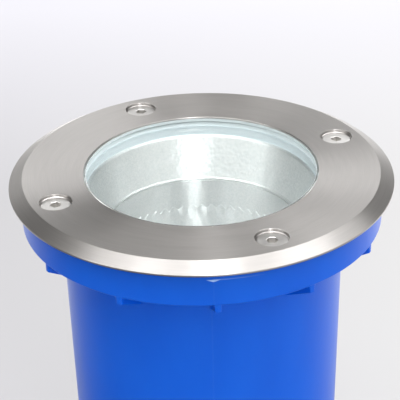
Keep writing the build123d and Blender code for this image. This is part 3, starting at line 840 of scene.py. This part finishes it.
# %% The bead at its foot
bead_radius = 0.7
bead_circle = foot_inner + sheet / 4
bead_outline = []
for step in range(12):
    angle = 2 * pi * step / 12
    bead_height = cone_foot + bead_radius + bead_radius * sin(angle)
    bead_outline.append((bead_circle + bead_radius * cos(angle), bead_height))
bead = turned("cone_bead", bead_outline, steps=192)
place_piece(bead, "luminaire", faceted_aluminium, "hammered_aluminium", "reflector_cone")
place_piece(cone, "luminaire", hammered_aluminium, "hammered_aluminium", "reflector_cone")

# %% [markdown]
# ## The faceted bowl
# The lower reflector is pressed in a tool with rings of flat facets. Each ring is turned half a facet from
# the one above, and where two rings meet, the upper facets end in rounded tongues with a small step under
# them. Drawing that by hand would be endless, but it follows a rule: an angle picks the facet, a depth
# picks the ring. A flat grid goes into the tree, and the rule bends it into the bowl.

# %% A geometry node tree for the bowl
bowl_labels = ("Facets", "Tiers", "Rows", "Mouth", "Hole", "Depth", "Ledge", "Tongue", "Dish", "Top")
bowl_tree, size = group_tree("faceted_bowl", [(label, "NodeSocketFloat") for label in bowl_labels])
grid_x, grid_y, _ = bowl_tree.parts(bowl_tree.wire("GeometryNodeInputPosition"))
swing = (grid_x + 0.5) * (2 * pi)
descent = (0.5 - grid_y) * size["Tiers"]
tier = bowl_tree.math("MAXIMUM", bowl_tree.math("CEIL", descent - 0.001) - 1.0, 0.0)
within = bowl_tree.math("MAXIMUM", ((descent - tier) * size["Rows"] - 1.0) / (size["Rows"] - 1.0), 0.0)
odd = bowl_tree.math("FLOORED_MODULO", tier, 2.0)
place_in_facet = bowl_tree.math("FRACT", swing * size["Facets"] / (2 * pi) + odd * 0.5 + 0.0001) - 0.5
half_facet = pi / size["Facets"]

# %% Its rule
last_angle = bowl_tree.math("ARCCOSINE", size["Hole"] / size["Mouth"])
long_axis = size["Depth"] / bowl_tree.math("SINE", last_angle)
upper_angle = last_angle * tier / size["Tiers"]
lower_angle = last_angle * (tier + 1.0) / size["Tiers"]
upper_radius = size["Mouth"] * bowl_tree.math("COSINE", upper_angle)
lower_radius = size["Mouth"] * bowl_tree.math("COSINE", lower_angle) + size["Ledge"]
upper_depth = long_axis * bowl_tree.math("SINE", upper_angle)
lower_depth = long_axis * bowl_tree.math("SINE", lower_angle)
after_first = bowl_tree.math("MINIMUM", tier, 1.0)
before_last = bowl_tree.math("MINIMUM", size["Tiers"] - 1.0 - tier, 1.0)
wave = bowl_tree.math("COSINE", place_in_facet * (2 * pi)) * size["Tongue"]
shift = wave * (within * before_last - (1.0 - within) * after_first)
flat = bowl_tree.math("COSINE", half_facet) / bowl_tree.math("COSINE", place_in_facet * 2.0 * half_facet)
dish = size["Dish"] * (1.0 - 4.0 * place_in_facet * place_in_facet) * bowl_tree.math("SINE", within * pi)
bowl_radius = (upper_radius + (lower_radius - upper_radius) * within) * flat + dish
bowl_height = size["Top"] - upper_depth - (lower_depth - upper_depth) * within - shift
bent = bowl_tree.vector(
    bowl_radius * bowl_tree.math("COSINE", swing), bowl_radius * bowl_tree.math("SINE", swing), bowl_height
)
moved = bowl_tree.wire("GeometryNodeSetPosition", (), {"Geometry": size["Geometry"], "Position": bent})
joined = bowl_tree.wire("GeometryNodeMergeByDistance", (), {"Geometry": moved, "Distance": 0.000002})
bowl_group = close_group(bowl_tree, joined, size["Finish"])

# %% Bend the grid into the bowl
facet_count = 60
facet_steps = 6
tier_count = 8
tier_rows = 7
around, down = facet_count * facet_steps, tier_count * tier_rows
bpy.ops.mesh.primitive_grid_add(x_subdivisions=around, y_subdivisions=down, size=1)
bowl = bpy.context.object
bowl.name = "faceted_bowl"
bowl_sizes = {
    "Facets": float(facet_count),
    "Tiers": float(tier_count),
    "Rows": float(tier_rows),
    "Mouth": 41.4 * mm,
    "Hole": 13.0 * mm,
    "Depth": 78.5 * mm,
    "Ledge": 0.25 * mm,
    "Tongue": 0.9 * mm,
    "Dish": 0.06 * mm,
    "Top": cone_foot * mm,
    "Finish": faceted_aluminium,
}
run_group(bowl, bowl_group, bowl_sizes)
bowl_shape = bmesh.new()
bowl_shape.from_mesh(bowl.data)
middle = Vector((0, 0, (cone_foot - 30) * mm))
inward = sum(1 for face in bowl_shape.faces if face.normal.dot(middle - face.calc_center_median()) > 0)
if inward < len(bowl_shape.faces) / 2:
    bmesh.ops.reverse_faces(bowl_shape, faces=bowl_shape.faces)
bowl_shape.to_mesh(bowl.data)
bowl_shape.free()
thick = bowl.modifiers.new("sheet", "SOLIDIFY")
thick.thickness = sheet * mm
thick.offset = -1
settle(bowl, soften=3.2)
place_piece(bowl, "luminaire", faceted_aluminium, "faceted_aluminium", "reflector_bowl")

# %% [markdown]
# The bowl and the cone meet on a flat flange and are held by four small rivets with domed heads.

# %% The bowl's flange
flange_outline = [
    (41.6, cone_foot - sheet, 0.1),
    (46.2, cone_foot - sheet, 0.3),
    (46.2, cone_foot, 0.1),
    (41.6, cone_foot, 0.1),
]
bowl_flange = turned("bowl_flange", rounded(flange_outline, 3), steps=160)
place_piece(bowl_flange, "luminaire", faceted_aluminium, "faceted_aluminium", "reflector_bowl")

# %% Rivets
rivet_outline = [
    (0, cone_foot - sheet - 0.6),
    (0.9, cone_foot - sheet - 0.6, 0.2),
    (1.45, cone_foot - sheet, 0.1),
    (0.8, cone_foot - sheet),
    (0.8, cone_foot + sheet),
    (1.45, cone_foot + sheet, 0.1),
    (1.0, cone_foot + sheet + 0.6, 0.4),
    (0, cone_foot + sheet + 0.6),
]
rivet_count = 4
rivet_circle = 44.5
rivet = turned("reflector_rivet_heads", rounded(rivet_outline, 3), steps=20)
ring_of(rivet, rivet_count, rivet_circle, screw_first, fastener_steel)
place_piece(rivet, "luminaire", fastener_steel, "faceted_aluminium", "reflector_rivets")

# %% [markdown]
# ## Blue polypropylene
# The sleeve is injection moulded from a tough blue plastic. It is satin, a little uneven where the melt
# flowed, and slightly milky inside, so its edges look paler. Two mould halves met along one line at the
# front, and a tool nicked the rim there when the ring was put on: a small pale notch with a faint line
# dragged to the right.

# %% Sleeve finish
seam_angle = radians(-87.2)
nick_foot = 10.8
nick_height = 1.0
sleeve_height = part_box("install_sleeve")[1].z
collar_foot = sleeve_height - 15 * mm

blue = Finish("blue_plastic")
blue_x, blue_y, blue_z = blue.parts(blue.place)
flow = blue.grain(1.0, 3, blue.vector(blue_x / 0.018, blue_y / 0.018, blue_z / 0.05))
skin = blue.grain(0.0007, 3)
off_seam = blue.math("ABSOLUTE", blue_x * sin(seam_angle) - blue_y * cos(seam_angle)) / mm
in_front = blue.math("LESS_THAN", blue_y, 0.0)
above_foot = (blue_z - collar_foot) / mm
seam = blue.ramp(off_seam, (0.12, 1), (0.42, 0)) * in_front
nick = blue.ramp(off_seam - (above_foot - nick_foot) * 2.6, (0.0, 1), (0.4, 0)) * in_front
nick = nick * blue.math("GREATER_THAN", above_foot, nick_foot)
nick = nick * blue.math("LESS_THAN", above_foot, nick_foot + nick_height)
drag = blue.ramp(blue.math("ABSOLUTE", above_foot - nick_foot - 0.95), (0.10, 1), (0.32, 0)) * in_front
drag = drag * blue.ramp(blue_x / 0.03, (0.10, 0), (0.13, 1), (0.5, 0.6), (0.80, 0))
tone = blue.mix(flow, rgb(0.0, 0.084, 0.56), rgb(0.0, 0.110, 0.65))
tone = blue.mix(seam * 0.03, tone, rgb(0.20, 0.36, 0.72))
tone = blue.mix(blue.math("MAXIMUM", nick * 0.75, drag * 0.28), tone, rgb(0.42, 0.60, 0.88))
blue_plastic = blue.surface(
    {
        "Base Color": tone,
        "Roughness": 0.27 + 0.10 * flow + 0.06 * skin,
        "IOR": 1.49,
        "Specular IOR Level": 0.22,
        "Subsurface Weight": 0.06,
        "Subsurface Radius": (0.2, 0.4, 1.0),
        "Subsurface Scale": 0.002,
        "Normal": blue.bump(flow * 6.0 + skin * 0.4 + seam * 1.2, 0.00002),
    }
)

# %% [markdown]
# ## The sleeve
# A drafted pot with a wide collar that carries the can, a drain in its floor and two sockets for conduit
# low in the wall. The pot is one turned outline with the mould's radii on every corner. Two plain cutters
# open the wall for the sockets.

# %% Turn the pot
draft = tan(radians(1.0))
collar_mm = collar_foot / mm
pot_top_radius = 59.4
pot_foot_radius = pot_top_radius - collar_mm * draft
pot_wall = 2.6
pot_floor = 3.0
drain_radius = 14.0
collar_wall = 2.4
collar_outer = 75.3
collar_inner = collar_outer - collar_wall
pot_outline = [
    (drain_radius, 0.0, 0.5),
    (pot_foot_radius, 0.0, 1.2),
    (pot_top_radius, collar_mm, 0.9),
    (collar_outer, collar_mm, 0.75),
    (collar_outer, sleeve_height / mm, 0.6),
    (collar_inner, sleeve_height / mm, 0.5),
    (collar_inner, collar_mm + collar_wall, 0.5),
    (pot_top_radius - pot_wall, collar_mm + collar_wall, 0.6),
    (pot_foot_radius - pot_wall + pot_floor * draft, pot_floor, 1.5),
    (drain_radius, pot_floor, 0.5),
]
pot = turned("ground_sleeve", rounded(pot_outline), steps=256)


# %% Open the wall for the sockets
conduit_height = 30.0
conduit_hole = 12.75
opening = [(0, 40), (conduit_hole, 40), (conduit_hole, 75), (0, 75)]


def lying(points, side, name):
    """A turned shape laid along X at the sockets' height: side is 1 to the right, -1 to the left."""
    piece = turned(name, points, steps=64)
    lay = Matrix.Translation((0, 0, conduit_height * mm)) @ Matrix.Rotation(side * pi / 2, 4, "Y")
    piece.data.transform(lay)
    return piece


carve(pot, lying(opening, 1, "right_opening"), lying(opening, -1, "left_opening"))
place_piece(pot, "sleeve", blue_plastic, "blue_plastic", "install_sleeve")

# %% [markdown]
# ## Gussets under the collar
# Twelve triangular ribs hold the collar up. A moulded rib is not a flat board: its free edges are rounded
# and it widens where it meets the wall and the shelf, because the mould maker breaks the sharp inner
# corners. One rib is made as a grid of points whose thickness follows the distance to those edges, and the
# tree sets twelve of them.

# %% One gusset
gusset_inner = pot_top_radius - pot_wall / 2
gusset_outer = 75.15
gusset_low = collar_mm - 3.0
gusset_root = collar_mm + 1.2
gusset_slope = tan(radians(30.0))
gusset_half_thickness = 1.2
gusset_edge = 0.4
fillet = 1.3


def gusset_underside(radius):
    """Height of the rib's free lower edge."""
    return gusset_low - (gusset_outer - radius) * gusset_slope


def gusset_half(radius, height):
    """Half the rib's thickness at a point."""
    edge = min(height - gusset_underside(radius), gusset_outer - radius, gusset_edge)
    half = gusset_half_thickness - gusset_edge + sqrt(max(gusset_edge**2 - (gusset_edge - edge) ** 2, 0))
    wall = max(0.0, 1 - max(radius - pot_top_radius, 0) / fillet) ** 2
    shelf = max(0.0, 1 - max(collar_mm - height, 0) / fillet) ** 2
    return half + 0.55 * max(wall, shelf) * edge / gusset_edge


columns = [gusset_inner, 59.0, 59.4, 59.7, 60.1, 60.7, 62, 64, 66, 68, 70, 72, 73.5]
columns += [74.5, 74.8, 74.95, 75.07, gusset_outer]
drops = [0, 0.04, 0.12, 0.25, 0.4, 0.9]
rib = bmesh.new()
sides = {1: [], -1: []}
for radius in columns:
    lower = gusset_underside(radius)
    span = gusset_root - lower
    rows = [lower + drop for drop in drops]
    rows += [lower + 0.9 + (span - 0.9) * share for share in (0.25, 0.5, 0.75, 0.85, 0.92, 0.97, 1.0)]
    for side in sides:
        points = [(radius * mm, side * gusset_half(radius, z) * mm, z * mm) for z in rows]
        sides[side].append([rib.verts.new(point) for point in points])
for side, web in sides.items():
    for near, far in zip(web, web[1:]):
        for row in range(len(near) - 1):
            rib.faces.new((near[row], far[row], far[row + 1], near[row + 1]))
edge_loops = []
for side, web in sides.items():
    bottom = [column[0] for column in web]
    top = [column[-1] for column in web[-2::-1]]
    edge_loops.append(bottom + web[-1][1:] + top + web[0][-2:0:-1])
for index, (one, two) in enumerate(zip(*edge_loops)):
    after = (index + 1) % len(edge_loops[0])
    rib.faces.new((one, edge_loops[0][after], edge_loops[1][after], two))
bmesh.ops.recalc_face_normals(rib, faces=rib.faces)
gussets = as_piece("sleeve_gussets", rib, soften=50)
gusset_count = 12
gusset_first = -86.0
ring_of(gussets, gusset_count, 0.0, gusset_first, blue_plastic)
place_piece(gussets, "sleeve", blue_plastic, "blue_plastic", "install_sleeve")

# %% [markdown]
# ## Everything inside
# The can, the lamp and the wiring are seen when the light is taken apart. Their shapes come from the frame
# as they are, and each gets the finish of its own stuff: rough cast aluminium, fired ceramic, plated steel,
# brass, nylon.

# %% Castings, rubbers and plastics
metal = {"Metallic": 1.0}
cast_tones = rgb(0.42, 0.43, 0.44), rgb(0.56, 0.57, 0.58)
cast_aluminium = moulded("cast_aluminium", *cast_tones, 0.5, 0.0009, 0.00005, metal)
rubber_tones = rgb(0.018, 0.018, 0.018), rgb(0.035, 0.035, 0.034)
black_rubber = moulded("black_rubber", *rubber_tones, 0.66, 0.0005, 0.00003)
white_ceramic = moulded("white_ceramic", rgb(0.76, 0.745, 0.70), rgb(0.84, 0.83, 0.79), 0.58, 0.0004, 0.00002)
arc_tones = rgb(0.86, 0.85, 0.80), rgb(0.93, 0.92, 0.88)
arc_ceramic = moulded("arc_ceramic", *arc_tones, 0.4, 0.0003, 0.00001, {"Subsurface Weight": 0.2})
natural_nylon = moulded("natural_nylon", rgb(0.74, 0.73, 0.66), rgb(0.82, 0.81, 0.74), 0.45, 0.0005, 0.00002)
nylon_tones = rgb(0.022, 0.022, 0.024), rgb(0.040, 0.040, 0.044)
black_nylon = moulded("black_nylon", *nylon_tones, 0.42, 0.0006, 0.00003)
nickel = moulded("nickel_pins", rgb(0.60, 0.58, 0.54), rgb(0.72, 0.70, 0.66), 0.24, 0.0005, 0.00001, metal)
brass = moulded("brass_contacts", rgb(0.68, 0.50, 0.20), rgb(0.80, 0.63, 0.30), 0.30, 0.0006, 0.00001, metal)
zinc_steel = moulded("zinc_steel", rgb(0.52, 0.54, 0.56), rgb(0.68, 0.70, 0.72), 0.34, 0.0012, 0.00002, metal)

# %% Braided sleeving for the leads
braid = Finish("lead_sleeving")
braid_x, braid_y, braid_z = braid.parts(braid.place)
strand = 1.1 * mm
one_way = braid.math("SINE", (braid_x + braid_z) * (2 * pi / strand))
other_way = braid.math("SINE", (braid_y - braid_z) * (2 * pi / strand))
weave = one_way * other_way * 0.5 + 0.5
lead_sleeving = braid.surface(
    {
        "Base Color": braid.mix(weave, rgb(0.56, 0.55, 0.50), rgb(0.80, 0.79, 0.75)),
        "Roughness": 0.55 + 0.2 * weave,
        "Normal": braid.bump(weave, 0.0001),
    }
)

# %% Quartz of the lamp
quartz = Finish("lamp_tube_glass")
quartz_smear = quartz.grain(0.01, 2)
quartz_solid = quartz.wire(
    "ShaderNodeBsdfPrincipled",
    (),
    {
        "Base Color": quartz.mix(quartz_smear, rgb(0.95, 0.97, 0.98), rgb(0.98, 0.99, 1.0)),
        "Roughness": 0.01 + 0.02 * quartz_smear,
        "IOR": 1.46,
        "Transmission Weight": 1.0,
    },
)
tube_glass = see_through(quartz, quartz_solid, rgb(0.93, 0.94, 0.95))

# %% Give each node of the frame its finish
finishes = {
    "cast_aluminium": cast_aluminium,
    "black_rubber": black_rubber,
    "white_ceramic": white_ceramic,
    "arc_ceramic": arc_ceramic,
    "natural_nylon": natural_nylon,
    "black_nylon": black_nylon,
    "nickel_pins": nickel,
    "brass_contacts": brass,
    "zinc_steel": zinc_steel,
    "lead_sleeving": lead_sleeving,
    "lamp_tube_glass": tube_glass,
    "stainless_fasteners": fastener_steel,
}
slots = {row["node"]: row["material_slot"] for row in frame["record"]["subparts"]}
carried = [name for name, node in nodes.items() if not node.hide_render]
for name in carried:
    node = nodes[name]
    for slot in node.material_slots:
        slot.material = finishes[slots[name]]
print("carried over:", len(carried), "nodes:", ", ".join(sorted(carried)))
